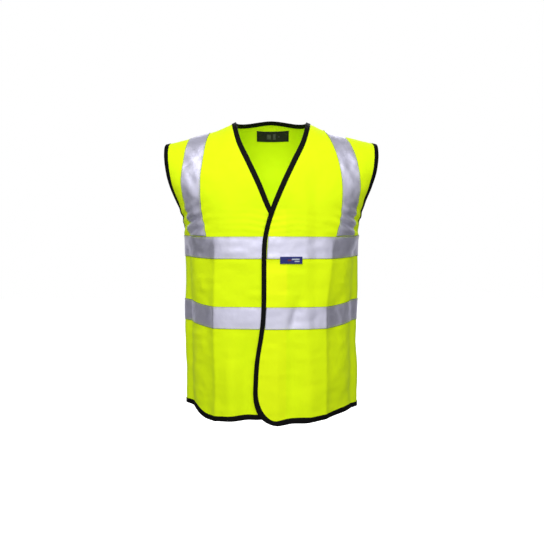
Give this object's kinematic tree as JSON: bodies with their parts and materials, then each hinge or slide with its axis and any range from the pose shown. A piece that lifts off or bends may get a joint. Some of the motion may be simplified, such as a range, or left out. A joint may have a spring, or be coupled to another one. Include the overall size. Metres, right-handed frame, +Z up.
{
  "type": "high visibility safety vest",
  "caption": "Sleeveless front-opening safety vest with reflective bands and shoulder braces, bound edges and hook-and-loop closure, worn over clothing so that the wearer is seen.",
  "frame": {"origin": "midway between the two neck points, at the tops of the shoulder seams, which is where the vest rests on the wearer", "axes": "+Z up, +X towards the wearer's left, -Y out of the front"},
  "size_m": [0.5116, 0.241, 0.7215],
  "materials": {
    "hi_vis_fabric": "fluorescent yellow warp-knit polyester",
    "reflective_tape": "silver retroreflective tape",
    "black_binding": "black folded woven binding",
    "black_label": "black woven label",
    "navy_label": "navy woven label",
    "hook_and_loop": "yellow hook-and-loop tape"
  },
  "bodies": {
    "body": {"back_panel": "hi_vis_fabric", "front_side_left": "hi_vis_fabric", "front_side_right": "hi_vis_fabric", "band_upper_back": "reflective_tape", "band_lower_back": "reflective_tape", "band_upper_side_left": "reflective_tape", "band_lower_side_left": "reflective_tape", "band_upper_side_right": "reflective_tape", "band_lower_side_right": "reflective_tape", "brace_back_left": "reflective_tape", "brace_back_right": "reflective_tape", "brace_front_left": "reflective_tape", "brace_front_right": "reflective_tape", "binding_neck_back": "black_binding", "binding_neck_front_left": "black_binding", "binding_neck_front_right": "black_binding", "binding_hem_back": "black_binding", "binding_hem_side_left": "black_binding", "binding_hem_side_right": "black_binding", "binding_armhole_back_left": "black_binding", "binding_armhole_back_right": "black_binding", "binding_armhole_front_left": "black_binding", "binding_armhole_front_right": "black_binding", "neck_label": "black_label"},
    "left_front": {"front_flap_left": "hi_vis_fabric", "band_upper_flap_left": "reflective_tape", "band_lower_flap_left": "reflective_tape", "binding_front_edge_left": "black_binding", "hook_patch_middle": "hook_and_loop", "hook_patch_lower": "hook_and_loop"},
    "right_front": {"front_flap_right": "hi_vis_fabric", "band_upper_flap_right": "reflective_tape", "band_lower_flap_right": "reflective_tape", "binding_front_edge_right": "black_binding", "loop_patch_middle": "hook_and_loop", "loop_patch_lower": "hook_and_loop"},
    "tab": {"tab_label": "navy_label"}
  },
  "joints": [
    {"name": "left_front_open", "type": "hinge", "parent": "body", "child": "left_front", "pos_m": [0.13045, -0.1062, -0.384], "axis": [0, 0, 1], "range_deg": [0, 100]},
    {"name": "right_front_open", "type": "hinge", "parent": "body", "child": "right_front", "pos_m": [-0.13045, -0.1062, -0.384], "axis": [0, 0, -1], "range_deg": [0, 50]},
    {"name": "tab_flip", "type": "hinge", "parent": "left_front", "child": "tab", "pos_m": [0.045, -0.127, -0.3204], "axis": [-0.999, -0.044, 0], "range_deg": [0, 150]}
  ],
  "couplings": [
    {"joint": "right_front_open", "follows": "left_front_open", "ratio": 0.5}
  ]
}
